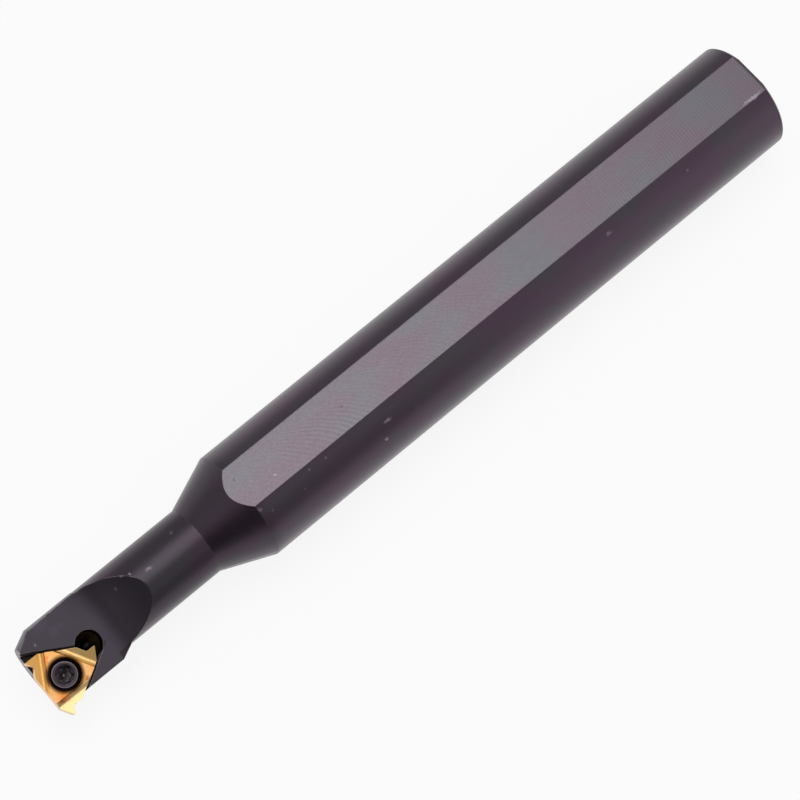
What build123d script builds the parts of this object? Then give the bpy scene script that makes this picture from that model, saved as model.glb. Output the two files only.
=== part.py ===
from build123d import *
from math import atan2, cos, degrees, hypot, radians, sin, sqrt, tan
import os

# Indexable boring bar for internal threading.
# +X runs along the bar towards the cutting end, +Z is up out of the clamping flat,
# +Y is the cutting side. The origin is the centre of the rear end face.
# Lengths are in millimetres, angles in degrees.

# Shank
shank_diameter = 16.0
shank_length = 91.3
rear_chamfer = 0.3
flat_depth = 0.67          # cut below the round for each of the two clamping flats

# Cone and neck
cone_length = 7.3
neck_diameter = 10.0

# Cutting point, at centre height
tool_reach = 125.2         # rear end to the middle of the working tooth
tip_offset = 7.7           # bar axis to the tip of the working tooth

# Head, turned off centre towards the cutting side
head_diameter = 11.0
head_shift = 0.45
head_length = 10.1         # full-diameter part, front face included
head_ramp_length = 2.2
head_ramp_drop = 1.0
head_setback = 0.4         # front face behind the insert's front edge
nose_length = 2.4          # turned taper at the front of the head
nose_drop = 1.2

# Chip flute, milled into the top of the neck and head
flute_tilt = 20.0          # leans to the cutting side
flute_length = 17.15       # tip back to where the run-out leaves the neck
runout_angle = 30.0
flute_rise = 4.5           # floor climbs towards the front
flute_front_height = 1.95  # floor above the axis at the front face
flute_radius = 6.0

# Insert, a triangle with one threading tooth near each corner
insert_circle = 6.35       # inscribed circle diameter
insert_thickness = 3.0
tooth_inset = 1.0          # tooth centreline inside the leading edge
tooth_drop = 0.67          # tooth tip below the triangle's corner
tooth_height = 1.08        # tip above the land behind it
tooth_angle = 60.0
tooth_nose_radius = 0.08
groove_width = 2.63        # chip groove, from the tooth tip in to the hub
groove_wall = 0.85         # width of its curved inner wall
groove_depth = 0.5
insert_bore = 2.8
insert_mouth = 4.4         # countersink diameter at the top face
seat_angle = 60.0          # countersink and screw head, included angle

# Seat
seat_tilt = 15.0           # leans to the cutting side for flank clearance
helix_tilt = 1.5           # leans forward to follow the thread
seat_clearance = 0.02      # insert flank to pocket wall
mouth_relief = 0.3         # pocket wall stands back above the seating band
mouth_relief_depth = 1.4   # below the insert's top face
pocket_corner_radius = 0.8
relief_hole_diameter = 3.7
relief_hole_setback = 1.8  # along the far wall from the pocket corner
relief_hole_offset = 0.2   # outside that wall
relief_hole_depth = 0.8    # below the seat floor, to the start of the drill point
drill_point = 118.0

# Clamp screw
screw_thread = 2.5
screw_length = 5.9
screw_head = 3.5
screw_rim = 0.15
screw_point = 0.3
thread_clearance = 0.03    # on the radius, in the tapped hole
head_clearance = 0.01      # on the radius, in the countersink
socket_points = 2.31       # six-lobe socket, across the lobes
socket_waist = 1.65        # across the waists
socket_waist_radius = 0.51
socket_depth = 1.0
socket_mouth = 2.7         # conical lead-in round the lobes
socket_mouth_angle = 120.0
socket_turn = 21.0         # first lobe from the bar direction

# Worked out from the sizes above
shank_radius = shank_diameter / 2
neck_radius = neck_diameter / 2
head_radius = head_diameter / 2
head_front = tool_reach + tooth_inset - head_setback
head_start = head_front - head_length
inradius = insert_circle / 2
corner = 2 * inradius
tooth_x = inradius - tooth_inset
tooth_tip = sqrt(3) * inradius - tooth_drop
land = tooth_tip - tooth_height
reach_past = 2 * shank_diameter    # tool paths run this far past the work


def turned(points, axis):
    """A solid of revolution from (x, radius) points, about an axis along X."""
    outline = Polyline(*[(x, axis.position.Y + r) for x, r in points], close=True)
    return revolve(make_face(outline), axis, 360)


def turned_blank():
    """Shank, cone and neck, turned on the bar axis."""
    cone_end = shank_length + cone_length
    return turned(
        [
            (0, 0),
            (0, shank_radius - rear_chamfer),
            (rear_chamfer, shank_radius),
            (shank_length, shank_radius),
            (cone_end, neck_radius),
            (head_start, neck_radius),
            (head_start, 0),
        ],
        Axis.X,
    )


def head_blank():
    """The head, turned off centre: a ramp out of the neck, a plain part and a tapered nose."""
    return turned(
        [
            (head_start - head_ramp_length, 0),
            (head_start - head_ramp_length, head_radius - head_ramp_drop),
            (head_start, head_radius),
            (head_front - nose_length, head_radius),
            (head_front, head_radius - nose_drop),
            (head_front, 0),
        ],
        Axis((0, head_shift, 0), (1, 0, 0)),
    )


def beyond_flats():
    """What the two clamping flats take off, above and below the shank."""
    height = shank_radius - flat_depth
    block = Box(2 * reach_past + 2 * shank_length, reach_past, shank_radius)
    lift = height + shank_radius / 2
    return [Pos(0, 0, side * lift) * block for side in (-1, 1)]


def chip_flute():
    """The flute: a sloping run-out, a round and a floor that climbs to the front."""
    slope_down, slope_up = tan(radians(runout_angle)), tan(radians(flute_rise))
    start = tool_reach - flute_length
    fall = neck_radius - flute_front_height + slope_up * (head_front - start)
    low_x = start + fall / (slope_down + slope_up)
    low_z = neck_radius - slope_down * (low_x - start)
    front, above = head_front + reach_past, neck_radius + shank_radius
    outline = Polyline(
        (start - (above - neck_radius) / slope_down, above),
        (low_x, low_z),
        (front, flute_front_height + slope_up * (front - head_front)),
        (front, above),
        close=True,
    )
    profile = make_face(outline)
    lowest = profile.vertices().sort_by(Axis.Y)[0]
    profile = fillet(lowest, flute_radius)
    lean = radians(flute_tilt)
    side_on = Plane((0, 0, 0), x_dir=(1, 0, 0), z_dir=(0, -cos(lean), sin(lean)))
    return extrude(side_on * profile, amount=reach_past, both=True)


def seat_plane():
    """The insert's top face: origin at its hole, x along the bar, z out of the face."""
    lean, helix = radians(seat_tilt), radians(helix_tilt)
    out = Vector(sin(helix), sin(lean) * cos(helix), cos(lean) * cos(helix))
    along = (Vector(1, 0, 0) - out * out.X).normalized()
    across = out.cross(along)
    tip = Vector(tool_reach, tip_offset, 0)
    return Plane(tip - along * tooth_x - across * tooth_tip, x_dir=along, z_dir=out)


def triangle(inset, height_low, height_high, rear_radius=0.0):
    """A triangular prism with its front edge at x = inset and one corner to the rear."""
    points = [(2 * inset * cos(radians(a)), 2 * inset * sin(radians(a))) for a in (60, 180, 300)]
    face = make_face(Polyline(*points, close=True))
    if rear_radius:
        face = fillet(face.vertices().sort_by(Axis.X)[0], rear_radius)
    return Pos(0, 0, height_low) * extrude(face, amount=height_high - height_low)


def insert_outline():
    """Three edges, each ending in a pointed tooth and the land behind it."""
    half = tan(radians(tooth_angle / 2))
    corner_points = [
        (inradius, tooth_tip - (inradius - tooth_x) / half),
        (tooth_x, tooth_tip),
        (tooth_x - tooth_height * half, land),
        (sqrt(3) * land - 2 * inradius, land),
    ]
    turns = [Rot(0, 0, 120 * k) for k in range(3)]
    points = [(turn * Pos(x, y, 0)).position for turn in turns for x, y in corner_points]
    face = make_face(Polyline(*points, close=True))
    tip_radius = hypot(tooth_x, tooth_tip)
    tips = [v for v in face.vertices() if abs(hypot(v.X, v.Y) - tip_radius) < 1e-6]
    return fillet(tips, tooth_nose_radius)


def chip_groove():
    """Ground groove along one tooth: a curved inner wall, then the rake up to the tip."""
    hub, bottom = tooth_tip - groove_width, tooth_tip - groove_width + groove_wall
    rake = groove_depth / (tooth_tip - bottom)
    past = tooth_tip + corner
    wall = TangentArc((bottom, -groove_depth), (hub, 0), tangent=(-1, -rake))
    edges = [
        wall,
        Line((hub, 0), (hub, corner)),
        Line((hub, corner), (past, corner)),
        Line((past, corner), (past, rake * (past - tooth_tip))),
        Line((past, rake * (past - tooth_tip)), (bottom, -groove_depth)),
    ]
    end_on = Plane((0, 0, 0), x_dir=(0, 1, 0), z_dir=(1, 0, 0))
    return extrude(end_on * make_face(edges), amount=2 * corner, both=True)


def cone_depth(mouth_radius, end_radius):
    """How deep a cone of the shared seat angle is between two radii."""
    return (mouth_radius - end_radius) / tan(radians(seat_angle / 2))


def threading_insert():
    """The carbide insert in its own frame, top face at z = 0."""
    body = extrude(insert_outline(), amount=-insert_thickness)
    groove = chip_groove()
    for k in range(3):
        body -= Rot(0, 0, 120 * k) * groove
    bore = Pos(0, 0, -insert_thickness / 2) * Cylinder(insert_bore / 2, 2 * insert_thickness)
    depth = cone_depth(insert_mouth / 2, insert_bore / 2)
    countersink = Pos(0, 0, -depth / 2) * Cone(insert_bore / 2, insert_mouth / 2, depth)
    return body - bore - countersink


def pointed_end(radius, point_angle):
    """The cone that a drill leaves, its base at z = 0 and its tip below."""
    depth = radius / tan(radians(point_angle / 2))
    return Pos(0, 0, -depth / 2) * Cone(0, radius, depth)


def pocket():
    """Everything milled or drilled away for the insert, in the insert's frame."""
    above = shank_radius
    seat = triangle(inradius + seat_clearance, -insert_thickness, above, pocket_corner_radius)
    mouth = triangle(inradius + mouth_relief, -mouth_relief_depth, above, pocket_corner_radius)
    wall_x, wall_y = cos(radians(-30)), sin(radians(-30))
    hole_x = -corner + relief_hole_setback * wall_x + relief_hole_offset * wall_y
    hole_y = relief_hole_setback * wall_y - relief_hole_offset * wall_x
    deep, hole_radius = insert_thickness + relief_hole_depth, relief_hole_diameter / 2
    hole = Pos(0, 0, (above - deep) / 2) * Cylinder(hole_radius, above + deep)
    hole = Pos(hole_x, hole_y) * (hole + Pos(0, 0, -deep) * pointed_end(hole_radius, drill_point))
    tapped = Cylinder(screw_thread / 2 + thread_clearance, 4 * head_diameter)
    return [seat, mouth, hole, tapped]


def six_lobe_socket():
    """The driver socket: six lobes round six waists, a drilled end and a conical lead-in."""
    disc = Circle(socket_points / 2)
    waist_centre = socket_waist / 2 + socket_waist_radius
    for k in range(6):
        turn = radians(60 * k + 30)
        disc -= Pos(waist_centre * cos(turn), waist_centre * sin(turn)) * Circle(socket_waist_radius)
    straight = extrude(disc, amount=-socket_depth)
    point = Pos(0, 0, -socket_depth) * pointed_end(socket_waist / 2, drill_point)
    lead_in = pointed_end(socket_mouth / 2, socket_mouth_angle)
    return Rot(0, 0, socket_turn) * (straight + point + lead_in)


def clamp_screw():
    """The countersunk screw in the insert's frame, its cone on the insert's countersink."""
    rim_radius, thread_radius = screw_head / 2, screw_thread / 2
    cone_top = -cone_depth(insert_mouth / 2 - head_clearance, rim_radius)
    top = cone_top + screw_rim
    neck = cone_top - cone_depth(rim_radius, thread_radius)
    end = top - screw_length
    outline = Polyline(
        (0, top),
        (rim_radius, top),
        (rim_radius, cone_top),
        (thread_radius, neck),
        (thread_radius, end + screw_point),
        (thread_radius - screw_point, end),
        (0, end),
        close=True,
    )
    body = revolve(Plane.XZ * make_face(outline), Axis.Z, 360)
    return body - Pos(0, 0, top) * six_lobe_socket()


def bar_body(seat):
    """The bar: turned blank and head, then flats, flute, pocket and tapped hole."""
    body = turned_blank() + head_blank()
    for waste in beyond_flats() + [chip_flute()]:
        body -= waste
    for waste in pocket():
        body -= seat * waste
    return body


seat = seat_plane()
nodes = {
    "bar_body": bar_body(seat),
    "threading_insert": seat * threading_insert(),
    "insert_screw": seat * clamp_screw(),
}
os.makedirs("parts", exist_ok=True)
for name, shape in nodes.items():
    export_step(shape, f"parts/{name}.step")
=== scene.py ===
from math import cos, pi, radians, sin

import bmesh
import bpy
from mathutils import Matrix, Vector

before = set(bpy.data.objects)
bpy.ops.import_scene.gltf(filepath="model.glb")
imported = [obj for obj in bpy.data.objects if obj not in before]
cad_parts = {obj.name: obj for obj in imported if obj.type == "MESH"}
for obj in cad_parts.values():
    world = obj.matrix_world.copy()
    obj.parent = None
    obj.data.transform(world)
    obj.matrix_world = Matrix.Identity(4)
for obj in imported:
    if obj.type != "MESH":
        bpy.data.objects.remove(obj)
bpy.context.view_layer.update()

MM = 0.001

# ---------------------------------------------------------------- sizes of the bar, mm
SHANK_LENGTH = 91.3
FLAT_HEIGHT = 7.33         # of both clamping flats from the bar's axis
NECK_RADIUS = 5.0
HEAD_START = 115.7
HEAD_FRONT = 125.8
HEAD_RADIUS = 5.5
HEAD_SHIFT = 0.45          # of the head's axis to the cutting side
NOSE_LENGTH = 2.4
NOSE_DROP = 1.2
FLUTE_START = 107.0
END_FACE = 0.03            # a point this near to either end is on its face
REAR_EDGE_BLACK, REAR_EDGE_PLAIN = 0.25, 0.55       # from the rear face, over its broken edge

# the cutter that faced the flats, in a fine square pass and a coarser one to the side
MILLING_RADIUS = 14.0
CUTTER_SIDE = 10.6         # how far its middle ran beside the bar over the front half
REAR_FEED, FRONT_FEED = 0.45, 0.84
REAR_PASS_END, FRONT_PASS_START = 36.0, 44.0
ARCS_APART = 70.0          # the arcs are plainest near both ends of the flats
ARCS_PLAINEST = 8.0

# slow bands of thicker and thinner oxide along the bar
BAND_LENGTH, BAND_CREST = 16.0, 88.5
# brightness of each cut, with 1 for the ground shank; the flute's run-out, floor and far side levels
# are painted shade and painted light
TURNED_LEVEL = 0.76
RUNOUT_SHADE_LEVEL, FLUTE_LIGHT_LEVEL = 0.75, 1.38
FAR_SIDE_SHADE_LEVEL = 0.55

# ---------------------------------------------------------------- the insert and its seat, mm
TIP = Vector((125.2, 7.7, 0.0))
TOOTH_X = 2.175            # tooth and tip from the middle of the insert
TOOTH_TIP = 4.829
HUB_EDGE = 2.199           # where the chip grooves start
MOUTH_RADIUS = 2.2
SCREW_RADIUS = 1.75
SCREW_TOP = -0.612
SOCKET_DEPTH = 1.0
SOCKET_LOBES, SOCKET_MIDDLE = 0.95, 0.70            # radii just past and just inside its waists
POCKET_WALL = 3.51         # wall of the pocket from the insert's middle
RELIEF_HOLE = (-4.891, -1.073, 0)
RELIEF_RADIUS = 1.87
POCKET_DARK, POCKET_LIT = -2.4, -0.2       # heights out of the insert's top face
LEAN, HELIX = radians(15), radians(1.5)
SEAT_OUT = Vector((sin(HELIX), sin(LEAN) * cos(HELIX), cos(LEAN) * cos(HELIX)))
SEAT_ALONG = (Vector((1, 0, 0)) - SEAT_OUT * SEAT_OUT.x).normalized()
SEAT_ACROSS = SEAT_OUT.cross(SEAT_ALONG)
SEAT_CENTRE = TIP - SEAT_ALONG * TOOTH_X - SEAT_ACROSS * TOOTH_TIP
SEAT_TURN = Matrix((SEAT_ALONG, SEAT_ACROSS, SEAT_OUT)).transposed().to_euler()
TURNS = [radians(120 * k) for k in range(3)]        # after each the insert is the same

# ---------------------------------------------------------------- edges, wear and painted shade
BAR_EDGE, INSERT_EDGE, SCREW_EDGE = 0.18, 0.05, 0.12        # radius of the broken edges, mm
EDGE_WEAR = 0.6            # most that wear, a mark or a stain covers of what it lies on
MARK_COVER = 0.45
STAIN_COVER = 0.6
SEAT_LIGHT = 0.04          # light left on the floor of the pocket and the hole
# how much colour is left in the painted shade of corners and on the darker broken rear edge
CORNER_LIGHT = 0.35

# ---------------------------------------------------------------- colours
PURPLE_OXIDE, GREY_OXIDE = "#4B3849", "#443F47"      # thick and thin oxide on the round
PURPLE_FLAT, GREY_FLAT = "#71646E", "#6C6A71"        # and on the milled flats
FLUTE_OXIDE = "#443D47"
RUBBED_STEEL = "#A8A2A6"
# the black of painted shade in corners, the pocket and the relief hole, also laid on the broken rear
# edge
CORNER_SHADE_BLACK = "#120D10"

DEEP_GOLD, PALE_GOLD = "#FAB264", "#FFC68A"
GROOVE_LIT_GOLD = ("#E2BC86", "#FFD084", "#F4B868")      # painted light, each groove's gold as the light falls on it, and the working tooth's painted paler
# a painted highlight along the insert's sharp edges
EDGE_HIGHLIGHT_GOLD = "#FFDC9A"
# painted shade, brown gold in the insert's sheltered corners
CORNER_SHADE_GOLD = "#7A4A1C"
# painted shade, brown round the countersink's mouth
HALO_SHADE_BROWN = "#452810"
# painted shade, dark on the countersink's wall
COUNTERSINK_SHADE = "#150E0A"

SCREW_DARK, SCREW_PALE = "#3C3639", "#4D464A"
# a painted highlight on the rim of the screw head
SCREW_RIM_HIGHLIGHT = "#786C75"
# painted shade, black in the socket
SOCKET_SHADE_BLACK = "#0C0A0A"
# painted light on the socket's floor
SOCKET_FLOOR_LIGHT = "#6E6668"

# stains that heat and cutting oil left on the coating: centre and size in mm on the insert, colour
HEAT_ORANGE, HEAT_BROWN, RUBBED_GOLD = "#E8772C", "#9A5020", "#FFE2B8"
STAINS = [
    ((2.0, 2.1, 0), 1.1, HEAT_ORANGE),
    ((2.5, 2.5, 0), 0.6, HEAT_BROWN),
    ((-1.9, 2.3, 0), 0.45, HEAT_BROWN),
    ((0.7, -2.9, 0), 0.45, HEAT_ORANGE),
    ((-3.0, -1.2, 0), 0.6, RUBBED_GOLD),
]

# marks on the blackened bar: centre and size in mm, and squeeze along each axis
BARE_STEEL, THIN_OXIDE, OIL_FILM, OIL = "#C2B6C0", "#94848F", "#5C5464", "#1C1620"
MARKS = {
    BARE_STEEL: [
        ((70.3, 5.2, 6.0), 0.50, (0.6, 1.6, 1.6)),
        ((71.7, 6.7, 4.4), 0.30, (1, 1, 1)),
        ((82.8, 4.0, 7.0), 0.22, (1, 1, 1)),
        ((86.5, 1.7, 7.33), 0.25, (1, 1, 1)),
        ((2.6, 3.0, 7.30), 1.70, (0.8, 5.0, 5.0)),
        ((109.9, -1.3, 4.85), 0.35, (0.8, 1.5, 1.5)),
        ((108.8, -0.9, 4.9), 0.22, (1, 1, 1)),
        ((123.6, -2.1, 2.65), 0.25, (1.4, 1, 1)),
    ],
    THIN_OXIDE: [
        ((80.0, 4.0, 6.9), 0.25, (1, 1, 1)),
        ((84.5, 5.3, 6.0), 0.25, (2, 1, 1)),
        ((91.0, 3.9, 7.0), 0.40, (1, 1, 1)),
        ((89.7, 4.9, 6.3), 0.25, (2, 1, 1)),
        ((89.4, 0.2, 7.33), 0.25, (2, 1, 1)),
        ((30.6, 4.7, 6.5), 0.45, (0.7, 1.5, 1.5)),
        ((16.2, 4.8, 6.4), 0.30, (1, 1, 1)),
        ((111.3, -0.9, 3.65), 0.28, (1.6, 0.6, 1)),
        ((106.5, 0.2, 5.0), 0.40, (0.6, 1.6, 1.6)),
        ((101.2, -1.8, 4.7), 0.28, (0.8, 1.2, 1.2)),
    ],
    OIL_FILM: [
        ((121.7, -3.7, 3.10), 1.30, (0.8, 1, 1)),
        ((120.7, -2.0, 2.40), 0.90, (1, 1, 1)),
        ((119.4, -2.1, 2.30), 0.60, (1, 1.5, 1)),
    ],
    OIL: [
        ((66.7, 5.9, 5.4), 0.35, (0.8, 1.3, 1.3)),
        ((91.0, -1.2, 7.33), 0.25, (1, 1, 1)),
        ((73.9, 0.2, 7.33), 0.25, (1, 1, 1)),
    ],
}

# ---------------------------------------------------------------- studio and camera
WHITE, BLACK = (1, 1, 1, 1), (0, 0, 0, 1)
FLOOR_SIZE = 6.0           # m
FLOOR_GAP = 0.02           # mm under the lower flat
FLOOR_PAPER = (0.15, 0.15, 0.15, 1)
FLOOR_GLOW = 0.88
OVERHEAD_LEVEL = 0.56      # of the studio's surround, with 1 at the horizon
MATT_LIGHT = 0.6           # strength of the surround on matt surfaces, with 1 for what is seen of it
# dark cards in the surround: direction, inner and outer radius in degrees, and level
DARK_CARDS = [
    ((0.62, 0.66, 0.43), 20, 38, 0.12),
    ((-0.26, -0.96, 0.12), 8, 26, 0.52),
]
# square soft boxes: name, direction from the bar, distance and width in mm, and watts
SOFT_BOXES = [
    ("overhead soft box", (-0.03, -0.14, 0.99), 1000, 740, 2.7),
    ("far side soft box", (-0.50, 0.71, 0.50), 450, 360, 0.10),
]
LAMP_TARGET = Vector((70, 0, 0))
GREY_CARD_SIZE = Vector((130, 100, 1))
GREY_CARD_PLACE = Vector((75, 143, 45))
GREY_CARD_LEVEL = 0.42

CAMERA_PLACE = Vector((177.49, 104.77, 410.05))
CAMERA_VIEW = Vector((-0.25609, -0.23358, -0.93801))
CAMERA_UP = Vector((-0.61185, -0.71208, 0.34437))
CAMERA_LENS = 148.59
SENSOR = 36.0

# inputs of a Mix node, whose names repeat
FACTOR, NUMBER_A, NUMBER_B, COLOUR_A, COLOUR_B = 0, 2, 3, 6, 7


def linear(hex_colour):
    """An sRGB hex colour as the linear RGBA that the shaders take."""
    channels = [int(hex_colour[i:i + 2], 16) / 255 for i in (1, 3, 5)]
    return tuple(c / 12.92 if c <= 0.04045 else ((c + 0.055) / 1.055) ** 2.4 for c in channels) + (1.0,)


def add(tree, kind, links=None, **settings):
    """One shader node: settings are its own values, links are its inputs by name or index. A node
    given as a link stands for its first output in use."""
    node = tree.nodes.new("ShaderNode" + kind)
    for name, value in settings.items():
        setattr(node, name, value)
    for key, value in (links or {}).items():
        if isinstance(value, bpy.types.Node):
            value = next(output for output in value.outputs if output.enabled)
        if isinstance(value, bpy.types.NodeSocket):
            tree.links.new(value, node.inputs[key])
        else:
            node.inputs[key].default_value = value
    return node


def blank_material(name):
    """A new material with nothing in its tree."""
    material = bpy.data.materials.new(name)
    material.use_nodes = True
    material.node_tree.nodes.clear()
    return material, material.node_tree


# ---------------------------------------------------------------- places and edges
def on_bar(tree):
    """The place on the bar in mm, and how far that is along, across and up."""
    place = add(tree, "VectorMath", {0: add(tree, "TexCoord").outputs["Object"], "Scale": 1 / MM},
                operation="SCALE")
    along, across, up = add(tree, "SeparateXYZ", {0: place}).outputs
    return place, along, across, up


def in_seat(tree):
    """The place on the insert in mm, along, across and out of its top face from the screw's axis,
    and the same pressed flat onto that face."""
    place = add(tree, "Mapping", {
        "Vector": add(tree, "TexCoord").outputs["Object"], "Location": SEAT_CENTRE * MM,
        "Rotation": SEAT_TURN, "Scale": (MM, MM, MM)}, vector_type="TEXTURE")
    flat_place = add(tree, "VectorMath", {0: place, 1: (1, 1, 0)}, operation="MULTIPLY")
    return place, flat_place


def edge_and_corner(tree, radius):
    """How far a point is on a broken outer edge, how far it is in the open, and the softened normal."""
    softened = add(tree, "Bevel", {"Radius": radius * MM}, samples=8)
    true_normal = add(tree, "NewGeometry").outputs["Normal"]
    agree = add(tree, "VectorMath", {0: softened, 1: true_normal}, operation="DOT_PRODUCT")
    edge = add(tree, "MapRange", {"Value": agree, "From Min": 0.995, "From Max": 0.93})
    shelter = add(tree, "AmbientOcclusion", {"Distance": 1.2 * MM}, samples=8)
    opening = add(tree, "MapRange", {
        "Value": shelter.outputs["AO"], "From Min": 0.35, "From Max": 0.85})
    outer = add(tree, "Math", {0: edge, 1: opening}, operation="MULTIPLY")
    return outer, opening, softened


def ragged_place(tree, place, scale, start, reach):
    """The start shifted by a noise over the place, by up to half the reach, so that spots get ragged
    outlines."""
    shift = add(tree, "TexNoise", {"Vector": place, "Scale": scale, "Detail": 2.0}).outputs["Color"]
    shift = add(tree, "VectorMath", {0: shift, 1: (0.5, 0.5, 0.5)}, operation="SUBTRACT")
    return add(tree, "VectorMath", {0: shift, 1: reach, 2: start}, operation="MULTIPLY_ADD")


# ---------------------------------------------------------------- black oxide on the bar
def wave_along(tree, along, length, crest):
    """A wave along the bar that is 1 at its crest and -1 half a length away."""
    turn = 2 * pi / length
    angle = add(tree, "Math", {0: along, 1: turn, 2: -turn * crest}, operation="MULTIPLY_ADD")
    return add(tree, "Math", {0: angle}, operation="COSINE")


def facing_arcs(tree, place, along, across):
    """Arcs of the facing cutter, fine and square across the rear half of the flats, coarser and
    slanting over the front half. Returns them as a wave, and as the light that they take or give,
    which is plain to see in patches near both ends only."""
    pass_change = {"Value": along, "From Min": REAR_PASS_END, "From Max": FRONT_PASS_START}
    side = add(tree, "MapRange", {**pass_change, "To Min": 0.0, "To Max": CUTTER_SIDE})
    turns_a_mm = add(tree, "MapRange", {
        **pass_change, "To Min": 1 / REAR_FEED, "To Max": 1 / FRONT_FEED})
    beside = add(tree, "Math", {0: across, 1: side}, operation="SUBTRACT")
    square = add(tree, "Math", {0: beside, 1: beside}, operation="MULTIPLY")
    square = add(tree, "Math", {0: MILLING_RADIUS ** 2, 1: square}, operation="SUBTRACT")
    reach = add(tree, "Math", {0: square}, operation="SQRT")
    cutter = add(tree, "Math", {0: along, 1: reach}, operation="ADD")
    wander = add(tree, "TexNoise", {"Vector": place, "Scale": 0.3, "Detail": 2.0})
    turns = add(tree, "Math", {0: cutter, 1: turns_a_mm, 2: wander}, operation="MULTIPLY_ADD")
    turns = add(tree, "Math", {0: turns, 1: 2 * pi}, operation="MULTIPLY")
    arcs = add(tree, "Math", {0: turns}, operation="SINE")

    near_ends = add(tree, "MapRange", {
        "Value": wave_along(tree, along, ARCS_APART, ARCS_PLAINEST),
        "From Min": 0.7, "From Max": 1.0, "To Min": 0.12, "To Max": 1.0})
    patches = add(tree, "TexNoise", {"Vector": place, "Scale": 0.25, "Detail": 2.0})
    patches = add(tree, "MapRange", {
        "Value": patches, "From Min": 0.42, "From Max": 0.58, "To Min": 0.02, "To Max": 0.08})
    contrast = add(tree, "Math", {0: near_ends, 1: patches}, operation="MULTIPLY")
    arc_light = add(tree, "Math", {0: arcs, 1: contrast, 2: 1.0}, operation="MULTIPLY_ADD")
    return arcs, arc_light


def oxide_patches(tree, place, along):
    """Patches of thick oxide (0) and thin oxide (1), 3 mm wide and longer along the bar, with slow
    bands across it."""
    drawn_out = add(tree, "VectorMath", {0: place, 1: (0.35, 1, 1)}, operation="MULTIPLY")
    cloud = add(tree, "TexNoise", {
        "Vector": drawn_out, "Scale": 0.3, "Detail": 3.0, "Roughness": 0.55})
    bands = wave_along(tree, along, BAND_LENGTH, BAND_CREST)
    cloud = add(tree, "Math", {0: bands, 1: 0.07, 2: cloud}, operation="MULTIPLY_ADD")
    return add(tree, "MapRange", {"Value": cloud, "From Min": 0.36, "From Max": 0.66})


def cut_into_round(tree, place, along):
    """How far a point is from the bar's axis, and whether it is on the flute, the pocket or a hole,
    because it lies under the turned outside of the neck or head and behind the front face."""
    section = add(tree, "VectorMath", {0: place, 1: (0, 1, 1)}, operation="MULTIPLY")
    from_axis = add(tree, "VectorMath", {0: section}, operation="LENGTH")
    under_neck = add(tree, "Math", {0: NECK_RADIUS, 1: from_axis}, operation="SUBTRACT")
    from_head_axis = add(tree, "VectorMath", {0: section, 1: (0, HEAD_SHIFT, 0)}, operation="DISTANCE")
    head_radius = add(tree, "MapRange", {
        "Value": along, "From Min": HEAD_FRONT - NOSE_LENGTH, "From Max": HEAD_FRONT,
        "To Min": HEAD_RADIUS, "To Max": HEAD_RADIUS - NOSE_DROP})
    under_head = add(tree, "Math", {0: head_radius, 1: from_head_axis}, operation="SUBTRACT")
    on_head = add(tree, "Math", {0: along, 1: HEAD_START}, operation="GREATER_THAN")
    under = add(tree, "Mix", {FACTOR: on_head, NUMBER_A: under_neck, NUMBER_B: under_head})
    inside = add(tree, "MapRange", {"Value": under, "From Min": 0.06, "From Max": 0.14})
    past_cone = add(tree, "Math", {0: along, 1: FLUTE_START}, operation="GREATER_THAN")
    behind_front = add(tree, "Math", {0: along, 1: HEAD_FRONT - END_FACE}, operation="LESS_THAN")
    milled = add(tree, "Math", {0: inside, 1: past_cone}, operation="MULTIPLY")
    milled = add(tree, "Math", {0: milled, 1: behind_front}, operation="MULTIPLY")
    return from_axis, milled


def cut_levels_and_painted_light(tree, base, along, across, on_flat, milled):
    """The base colour at the level of each cut. The shank is ground before blackening, so the cone,
    neck and head, which are only turned, stay darker. On the flute, painted shade makes its run-out
    darkest, painted light brightens and greys it along its floor, and painted shade darkens its far
    side until it opens into the head."""
    turned = add(tree, "MapRange", {
        "Value": along, "From Min": SHANK_LENGTH - 1.5, "From Max": SHANK_LENGTH + 0.2,
        "To Min": 1.0, "To Max": TURNED_LEVEL})
    turned = add(tree, "Math", {0: turned, 1: on_flat}, operation="MAXIMUM")
    # painted shade, darkest in the flute's run-out, turning to painted light along its floor
    runout_painted_light = add(tree, "MapRange", {
        "Value": along, "From Min": FLUTE_START + 2.0, "From Max": FLUTE_START + 6.5,
        "To Min": RUNOUT_SHADE_LEVEL, "To Max": FLUTE_LIGHT_LEVEL}, interpolation_type="SMOOTHSTEP")
    # painted shade on the flute's far side, lifted where it opens into the head
    far_side_painted_shade = add(tree, "MapRange", {
        "Value": across, "From Min": -NECK_RADIUS, "From Max": 0.0,
        "To Min": FAR_SIDE_SHADE_LEVEL, "To Max": 1.0})
    opened = add(tree, "MapRange", {
        "Value": along, "From Min": HEAD_START - 0.5, "From Max": HEAD_START + 2.5})
    far_side_painted_shade = add(tree, "Mix", {FACTOR: opened, NUMBER_A: far_side_painted_shade, NUMBER_B: 1.0})
    flute = add(tree, "Math", {0: runout_painted_light, 1: far_side_painted_shade}, operation="MULTIPLY")
    level = add(tree, "Mix", {FACTOR: milled, NUMBER_A: turned, NUMBER_B: flute})
    # the flute's floor greys as its painted light grows
    greyer = add(tree, "Math", {0: milled, 1: runout_painted_light}, operation="MULTIPLY")
    greyer = add(tree, "MapRange", {
        "Value": greyer, "From Min": RUNOUT_SHADE_LEVEL, "From Max": FLUTE_LIGHT_LEVEL})
    toned = add(tree, "Mix", {
        FACTOR: greyer, COLOUR_A: base, COLOUR_B: linear(FLUTE_OXIDE)}, data_type="RGBA")
    return add(tree, "VectorMath", {0: toned, "Scale": level}, operation="SCALE")


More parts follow.
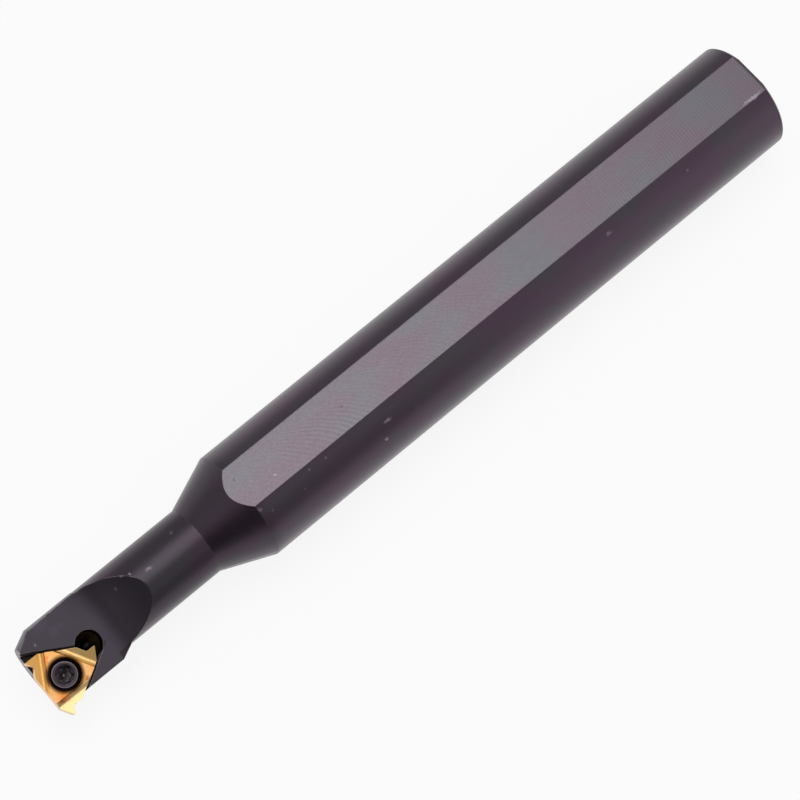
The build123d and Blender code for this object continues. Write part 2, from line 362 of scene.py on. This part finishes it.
def with_marks(tree, colour, place):
    """The colour with the small chips, thin spots and oil spots of the oxide on it."""
    ragged = ragged_place(tree, place, 2.2, place, (0.7, 0.7, 0.7))
    for mark_colour, marks in MARKS.items():
        for centre, size, squeeze in marks:
            apart = add(tree, "VectorMath", {0: ragged, 1: centre}, operation="SUBTRACT")
            apart = add(tree, "VectorMath", {0: apart, 1: squeeze}, operation="MULTIPLY")
            apart = add(tree, "VectorMath", {0: apart}, operation="LENGTH")
            mark = add(tree, "MapRange", {
                "Value": apart, "From Min": size, "From Max": 0.3 * size, "To Max": MARK_COVER})
            colour = add(tree, "Mix", {
                FACTOR: mark, COLOUR_A: colour, COLOUR_B: linear(mark_colour)}, data_type="RGBA")
    return colour


def pocket_light(tree, milled):
    """The light left down in the pocket and the relief hole, dim on the seat and full at the rim."""
    place, flat_place = in_seat(tree)
    height = add(tree, "SeparateXYZ", {0: place}).outputs["Z"]
    wall = add(tree, "Value")
    for turn in TURNS:
        outward = add(tree, "VectorMath", {0: place, 1: (cos(turn), sin(turn), 0)},
                      operation="DOT_PRODUCT")
        wall = add(tree, "Math", {0: wall, 1: outward}, operation="MAXIMUM")
    in_pocket = add(tree, "Math", {0: wall, 1: POCKET_WALL}, operation="LESS_THAN")
    from_hole = add(tree, "VectorMath", {0: flat_place, 1: RELIEF_HOLE}, operation="DISTANCE")
    in_hole = add(tree, "Math", {0: from_hole, 1: RELIEF_RADIUS}, operation="LESS_THAN")
    sunk = add(tree, "Math", {0: in_pocket, 1: in_hole}, operation="MAXIMUM")
    sunk = add(tree, "Math", {0: sunk, 1: milled}, operation="MULTIPLY")
    light = add(tree, "MapRange", {
        "Value": height, "From Min": POCKET_DARK, "From Max": POCKET_LIT, "To Min": SEAT_LIGHT})
    return add(tree, "Mix", {FACTOR: sunk, NUMBER_A: 1.0, NUMBER_B: light})


def black_oxide_steel():
    """Black oxide on a ground round shank with milled flats: a dark satin metal with a purple brown
    cast. The flats are lighter and greyer and show arcs from the facing cutter, the cone and neck show
    turning rings, outer edges are rubbed pale, painted shade darkens the corners, the pocket and the
    relief hole, and the broken rear edge is darker."""
    material, tree = blank_material("black oxide on turned and milled steel")
    place, along, across, up = on_bar(tree)
    outer, opening, softened = edge_and_corner(tree, BAR_EDGE)
    height = add(tree, "Math", {0: up}, operation="ABSOLUTE")
    on_flat = add(tree, "MapRange", {
        "Value": height, "From Min": FLAT_HEIGHT - 0.03, "From Max": FLAT_HEIGHT - 0.01})
    on_rear = add(tree, "Math", {0: along, 1: END_FACE}, operation="LESS_THAN")
    from_axis, milled = cut_into_round(tree, place, along)
    arcs, arc_light = facing_arcs(tree, place, along, across)

    # purple brown where the oxide is thick and grey where it is thin
    thinness = oxide_patches(tree, place, along)
    on_round = add(tree, "Mix", {
        FACTOR: thinness, COLOUR_A: linear(PURPLE_OXIDE), COLOUR_B: linear(GREY_OXIDE)},
        data_type="RGBA")
    faced = add(tree, "Mix", {
        FACTOR: thinness, COLOUR_A: linear(PURPLE_FLAT), COLOUR_B: linear(GREY_FLAT)},
        data_type="RGBA")
    faced = add(tree, "VectorMath", {0: faced, "Scale": arc_light}, operation="SCALE")
    base = add(tree, "Mix", {FACTOR: on_flat, COLOUR_A: on_round, COLOUR_B: faced}, data_type="RGBA")
    base = cut_levels_and_painted_light(tree, base, along, across, on_flat, milled)

    # turning rings at 0.35 mm, three times as coarse as the real feed so that they show. On the
    # rear face they run round the axis
    feed = add(tree, "Mix", {FACTOR: on_rear, NUMBER_A: along, NUMBER_B: from_axis})
    rings = add(tree, "TexNoise", {"W": feed, "Scale": 2.9, "Detail": 1.0}, noise_dimensions="1D")
    low_arcs = add(tree, "Math", {0: arcs, 1: 0.3}, operation="MULTIPLY")
    tool_marks = add(tree, "Mix", {FACTOR: on_flat, NUMBER_A: rings, NUMBER_B: low_arcs})
    grain = add(tree, "TexNoise", {"Vector": place, "Scale": 4.0, "Detail": 3.0})
    relief = add(tree, "Math", {0: tool_marks, 1: 1.5, 2: grain}, operation="MULTIPLY_ADD")
    bump = add(tree, "Bump", {
        "Height": relief, "Strength": 0.25, "Distance": 0.01 * MM, "Normal": softened})

    # outer edges are rubbed to the steel in places
    wear = add(tree, "TexNoise", {"Vector": place, "Scale": 1.4, "Detail": 2.0})
    wear = add(tree, "MapRange", {
        "Value": wear, "From Min": 0.35, "From Max": 0.65, "To Max": EDGE_WEAR})
    rubbed = add(tree, "Math", {0: outer, 1: wear}, operation="MULTIPLY")
    worn = add(tree, "Mix", {
        FACTOR: rubbed, COLOUR_A: base, COLOUR_B: linear(RUBBED_STEEL)}, data_type="RGBA")
    worn = with_marks(tree, worn, place)

    # painted shade in the corners, the pocket and the relief hole, and a darker band on the broken rear
    # edge
    from_rear = add(tree, "MapRange", {
        "Value": along, "From Min": REAR_EDGE_BLACK, "From Max": REAR_EDGE_PLAIN,
        "To Min": CORNER_LIGHT})
    rear_edge = add(tree, "Mix", {FACTOR: on_rear, NUMBER_A: from_rear, NUMBER_B: 1.0})
    # painted shade in corners, from how open the surface is
    corners = add(tree, "MapRange", {"Value": opening, "To Min": CORNER_LIGHT, "To Max": 1.0})
    unshaded = add(tree, "Math", {0: pocket_light(tree, milled), 1: rear_edge}, operation="MULTIPLY")
    unshaded = add(tree, "Math", {0: corners, 1: unshaded}, operation="MULTIPLY")
    colour = add(tree, "Mix", {
        FACTOR: unshaded, COLOUR_A: linear(CORNER_SHADE_BLACK), COLOUR_B: worn}, data_type="RGBA")

    gloss = add(tree, "MapRange", {
        "Value": grain, "From Min": 0.3, "From Max": 0.7, "To Min": 0.31, "To Max": 0.40})
    shader = add(tree, "BsdfPrincipled", {
        "Base Color": colour, "Metallic": 1.0, "Roughness": gloss, "Normal": bump,
        "Coat Weight": 0.4, "Coat Roughness": 0.35, "Coat Normal": bump})
    add(tree, "OutputMaterial", {"Surface": shader})
    return material


# ---------------------------------------------------------------- gold coating on the insert
def with_stains(tree, colour, place, flat_place):
    """The colour with heat and oil stains on it."""
    ragged = ragged_place(tree, place, 1.2, flat_place, (1.4, 1.4, 0))
    for centre, size, stain_colour in STAINS:
        apart = add(tree, "VectorMath", {0: ragged, 1: centre}, operation="DISTANCE")
        stain = add(tree, "MapRange", {
            "Value": apart, "From Min": size, "From Max": 0.2 * size, "To Max": STAIN_COVER})
        colour = add(tree, "Mix", {
            FACTOR: stain, COLOUR_A: colour, COLOUR_B: linear(stain_colour)}, data_type="RGBA")
    return colour


def gold_nitride():
    """Titanium nitride on ground carbide: a satin gold with fine grinding lines along each chip groove
    and painted light on each groove, a painted highlight pale at the sharp edges, painted shade brown
    in sheltered corners and round the countersink, and painted shade dark on the countersink's own
    wall."""
    material, tree = blank_material("gold titanium nitride on ground carbide")
    place, flat_place = in_seat(tree)
    radius = add(tree, "VectorMath", {0: flat_place}, operation="LENGTH")
    outer, opening, softened = edge_and_corner(tree, INSERT_EDGE)

    cloud = add(tree, "TexNoise", {"Vector": place, "Scale": 0.7, "Detail": 2.0})
    tint = add(tree, "MapRange", {"Value": cloud, "From Min": 0.35, "From Max": 0.65})
    gold = add(tree, "Mix", {
        FACTOR: tint, COLOUR_A: linear(DEEP_GOLD), COLOUR_B: linear(PALE_GOLD)}, data_type="RGBA")

    # grinding lines at 0.12 mm, along each of the three grooves
    lines = add(tree, "Value")
    for turn, groove_lit_gold in zip(TURNS, GROOVE_LIT_GOLD):
        over = add(tree, "VectorMath", {0: place, 1: (-sin(turn), cos(turn), 0)},
                   operation="DOT_PRODUCT")
        ground = add(tree, "TexNoise", {"W": over, "Scale": 8.0, "Detail": 2.0}, noise_dimensions="1D")
        within = add(tree, "Math", {0: over, 1: HUB_EDGE}, operation="GREATER_THAN")
        lines = add(tree, "Mix", {FACTOR: within, NUMBER_A: lines, NUMBER_B: ground})
        # each groove gets its own painted light
        gold = add(tree, "Mix", {
            FACTOR: within, COLOUR_A: gold, COLOUR_B: linear(groove_lit_gold)}, data_type="RGBA")
    grain = add(tree, "TexNoise", {"Vector": place, "Scale": 5.0, "Detail": 3.0})
    relief = add(tree, "Math", {0: lines, 1: grain}, operation="ADD")
    bump = add(tree, "Bump", {
        "Height": relief, "Strength": 0.3, "Distance": 0.006 * MM, "Normal": softened})

    stained = with_stains(tree, gold, place, flat_place)
    # painted highlight, pale gold along the sharp edges
    edge_highlighted = add(tree, "Mix", {
        FACTOR: outer, COLOUR_A: stained, COLOUR_B: linear(EDGE_HIGHLIGHT_GOLD)}, data_type="RGBA")
    # painted shade, brown in sheltered corners
    sheltered = add(tree, "Mix", {
        FACTOR: opening, COLOUR_A: linear(CORNER_SHADE_GOLD), COLOUR_B: edge_highlighted}, data_type="RGBA")
    # painted shade, brown fading out from the countersink's mouth
    past_halo = add(tree, "MapRange", {
        "Value": radius, "From Min": MOUTH_RADIUS, "From Max": MOUTH_RADIUS + 0.6,
        "To Min": 0.05, "To Max": 1.0}, interpolation_type="SMOOTHSTEP")
    halo_shaded = add(tree, "Mix", {
        FACTOR: past_halo, COLOUR_A: linear(HALO_SHADE_BROWN), COLOUR_B: sheltered}, data_type="RGBA")
    # painted shade, dark down the countersink's wall
    up_mouth = add(tree, "MapRange", {
        "Value": radius, "From Min": SCREW_RADIUS + 0.05, "From Max": MOUTH_RADIUS})
    colour = add(tree, "Mix", {
        FACTOR: up_mouth, COLOUR_A: linear(COUNTERSINK_SHADE), COLOUR_B: halo_shaded}, data_type="RGBA")

    gloss = add(tree, "MapRange", {"Value": grain, "To Min": 0.24, "To Max": 0.36})
    shader = add(tree, "BsdfPrincipled", {
        "Base Color": colour, "Metallic": 1.0, "Roughness": gloss, "Normal": bump})
    add(tree, "OutputMaterial", {"Surface": shader})
    return material


# ---------------------------------------------------------------- blackened screw
def blackened_screw():
    """Blackened alloy steel: a dark turned head with a painted highlight on its rim, and a socket in
    painted shade whose floor has painted light on it."""
    material, tree = blank_material("blackened alloy steel of the clamp screw")
    place, flat_place = in_seat(tree)
    radius = add(tree, "VectorMath", {0: flat_place}, operation="LENGTH")
    height = add(tree, "SeparateXYZ", {0: place}).outputs["Z"]
    outer, opening, softened = edge_and_corner(tree, SCREW_EDGE)
    rings = add(tree, "TexNoise", {"W": radius, "Scale": 9.0, "Detail": 1.0}, noise_dimensions="1D")
    grain = add(tree, "TexNoise", {"Vector": place, "Scale": 6.0, "Detail": 3.0})
    relief = add(tree, "Math", {0: rings, 1: grain}, operation="ADD")
    bump = add(tree, "Bump", {
        "Height": relief, "Strength": 0.3, "Distance": 0.008 * MM, "Normal": softened})
    base = add(tree, "Mix", {
        FACTOR: grain, COLOUR_A: linear(SCREW_DARK), COLOUR_B: linear(SCREW_PALE)}, data_type="RGBA")

    # a painted highlight on the rim of the head, on its top face only
    rim = add(tree, "MapRange", {
        "Value": radius, "From Min": SCREW_RADIUS - 0.20, "From Max": SCREW_RADIUS - 0.12})
    face = add(tree, "MapRange", {
        "Value": height, "From Min": SCREW_TOP - 0.12, "From Max": SCREW_TOP - 0.04})
    rim = add(tree, "Math", {0: rim, 1: face}, operation="MULTIPLY")
    rim = add(tree, "Math", {0: rim, 1: outer}, operation="MAXIMUM")
    edge_highlighted = add(tree, "Mix", {
        FACTOR: rim, COLOUR_A: base, COLOUR_B: linear(SCREW_RIM_HIGHLIGHT)}, data_type="RGBA")
    # painted shade where the head is sheltered, black in the socket
    shade = add(tree, "MapRange", {"Value": opening, "To Min": 0.3, "To Max": 1.0})
    socket_shaded = add(tree, "Mix", {
        FACTOR: shade, COLOUR_A: linear(SOCKET_SHADE_BLACK), COLOUR_B: edge_highlighted}, data_type="RGBA")

    # painted light on the floor of the socket, but not on its six lobes, which stay in painted shade
    deep = add(tree, "MapRange", {
        "Value": height, "From Min": SCREW_TOP - SOCKET_DEPTH + 0.15,
        "From Max": SCREW_TOP - SOCKET_DEPTH + 0.05})
    between_lobes = add(tree, "MapRange", {
        "Value": radius, "From Min": SOCKET_LOBES, "From Max": SOCKET_MIDDLE})
    bright = add(tree, "Math", {0: deep, 1: between_lobes}, operation="MULTIPLY")
    colour = add(tree, "Mix", {
        FACTOR: bright, COLOUR_A: socket_shaded, COLOUR_B: linear(SOCKET_FLOOR_LIGHT)}, data_type="RGBA")

    gloss = add(tree, "MapRange", {"Value": grain, "To Min": 0.24, "To Max": 0.36})
    shader = add(tree, "BsdfPrincipled", {
        "Base Color": colour, "Metallic": 1.0, "Roughness": gloss, "Normal": bump})
    add(tree, "OutputMaterial", {"Surface": shader})
    return material


def dress(node, material):
    """Puts one material on every face of a CAD node."""
    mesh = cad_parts[node].data
    mesh.materials.clear()
    mesh.materials.append(material)


# ---------------------------------------------------------------- stage
def studio_sheet(name, sheet, material):
    """An object made from a bmesh sheet, for the studio round the bar."""
    mesh = bpy.data.meshes.new(name)
    sheet.to_mesh(mesh)
    sheet.free()
    mesh.materials.append(material)
    piece = bpy.data.objects.new(name, mesh)
    bpy.context.scene.collection.objects.link(piece)
    return piece


def floor_paper():
    """White paper: it glows white where the camera or a reflection meets it, keeps the bar's
    shadow, and is clear from below, so that the underside can be looked at."""
    material, tree = blank_material("white paper floor")
    paths = add(tree, "LightPath").outputs
    seen = add(tree, "Math", {0: paths["Is Camera Ray"], 1: paths["Is Glossy Ray"]},
               operation="MAXIMUM")
    seen = add(tree, "Math", {0: seen, 1: paths["Is Transmission Ray"]}, operation="MAXIMUM")
    paper = add(tree, "BsdfDiffuse", {"Color": FLOOR_PAPER})
    glow = add(tree, "Emission", {"Color": WHITE, "Strength": FLOOR_GLOW})
    dark = add(tree, "Emission", {"Color": BLACK, "Strength": 0.0})
    lit = add(tree, "MixShader", {0: seen, 1: dark, 2: glow})
    upper = add(tree, "AddShader", {0: paper, 1: lit})
    below = add(tree, "NewGeometry").outputs["Backfacing"]
    one_sided = add(tree, "MixShader", {0: below, 1: upper, 2: add(tree, "BsdfTransparent")})
    add(tree, "OutputMaterial", {"Surface": one_sided})
    return material


def stage_floor():
    """The white floor that the lower flat rests on."""
    sheet = bmesh.new()
    bmesh.ops.create_grid(sheet, x_segments=1, y_segments=1, size=FLOOR_SIZE / 2)
    bmesh.ops.translate(sheet, vec=(0, 0, -(FLAT_HEIGHT + FLOOR_GAP) * MM), verts=sheet.verts)
    floor = studio_sheet("floor", sheet, floor_paper())


def grey_card():
    """A grey card that stands by the head, met only by reflections."""
    sheet = bmesh.new()
    bmesh.ops.create_grid(sheet, x_segments=1, y_segments=1, size=0.5)
    bmesh.ops.scale(sheet, vec=GREY_CARD_SIZE * MM, verts=sheet.verts)
    bmesh.ops.rotate(sheet, matrix=Matrix.Rotation(radians(90), 3, "X"), verts=sheet.verts)
    bmesh.ops.translate(sheet, vec=GREY_CARD_PLACE * MM, verts=sheet.verts)
    material, tree = blank_material("grey card")
    paper = add(tree, "Emission", {"Color": WHITE, "Strength": GREY_CARD_LEVEL})
    add(tree, "OutputMaterial", {"Surface": paper})
    card = studio_sheet("grey card", sheet, material)
    card.visible_camera = False
    card.visible_diffuse = False
    card.visible_shadow = False
    card.visible_transmission = False


def world_light():
    """Soft light from a white studio with two dark cards, and white where the camera sees it."""
    world = bpy.data.worlds.new("studio")
    world.use_nodes = True
    tree = world.node_tree
    tree.nodes.clear()
    paths = add(tree, "LightPath").outputs
    straight = add(tree, "Math", {
        0: paths["Is Camera Ray"], 1: paths["Is Transmission Ray"]}, operation="MAXIMUM")
    seen = add(tree, "Math", {0: straight, 1: paths["Is Glossy Ray"]}, operation="MAXIMUM")
    strength = add(tree, "MapRange", {"Value": seen, "To Min": MATT_LIGHT, "To Max": 1.0})

    way = add(tree, "TexCoord").outputs["Generated"]
    height = add(tree, "SeparateXYZ", {0: way}).outputs["Z"]
    level = add(tree, "MapRange", {
        "Value": height, "From Min": 0.15, "From Max": 0.5, "To Min": 1.0, "To Max": OVERHEAD_LEVEL})
    for direction, inner, outer, shade in DARK_CARDS:
        facing = add(tree, "VectorMath", {0: way, 1: Vector(direction).normalized()},
                     operation="DOT_PRODUCT")
        amount = add(tree, "MapRange", {
            "Value": facing, "From Min": cos(radians(outer)), "From Max": cos(radians(inner))},
            interpolation_type="SMOOTHSTEP")
        level = add(tree, "Mix", {FACTOR: amount, NUMBER_A: level, NUMBER_B: shade})
    surround = add(tree, "Mix", {FACTOR: straight, NUMBER_A: level, NUMBER_B: 1.0})
    strength = add(tree, "Math", {0: strength, 1: surround}, operation="MULTIPLY")
    background = add(tree, "Background", {"Color": WHITE, "Strength": strength})
    add(tree, "OutputWorld", {"Surface": background})
    bpy.context.scene.world = world


def soft_box(name, direction, distance, width, watts):
    """A square soft box facing the bar, which the camera doesn't see."""
    light = bpy.data.lights.new(name, "AREA")
    light.shape = "SQUARE"
    light.size = width * MM
    light.energy = watts
    lamp = bpy.data.objects.new(name, light)
    lamp.visible_camera = False
    away = Vector(direction).normalized()
    place = LAMP_TARGET + away * distance
    turn = away.to_track_quat("Z", "Y").to_matrix().to_4x4()
    lamp.matrix_world = Matrix.Translation(place * MM) @ turn
    bpy.context.scene.collection.objects.link(lamp)


def camera():
    """The view down onto the upper flat, from the cutting side."""
    lens = bpy.data.cameras.new("camera")
    lens.lens = CAMERA_LENS
    lens.sensor_width = SENSOR
    lens.clip_start = 0.01
    lens.clip_end = 20.0
    eye = bpy.data.objects.new("camera", lens)
    back = -CAMERA_VIEW.normalized()
    right = CAMERA_UP.cross(back).normalized()
    up = back.cross(right)
    turn = Matrix((right, up, back)).transposed().to_4x4()
    eye.matrix_world = Matrix.Translation(CAMERA_PLACE * MM) @ turn
    bpy.context.scene.collection.objects.link(eye)
    bpy.context.scene.camera = eye


dress("bar_body", black_oxide_steel())
dress("threading_insert", gold_nitride())
dress("insert_screw", blackened_screw())
stage_floor()
world_light()
for box in SOFT_BOXES:
    soft_box(*box)
grey_card()
camera()
bpy.context.scene.view_settings.view_transform = "Standard"
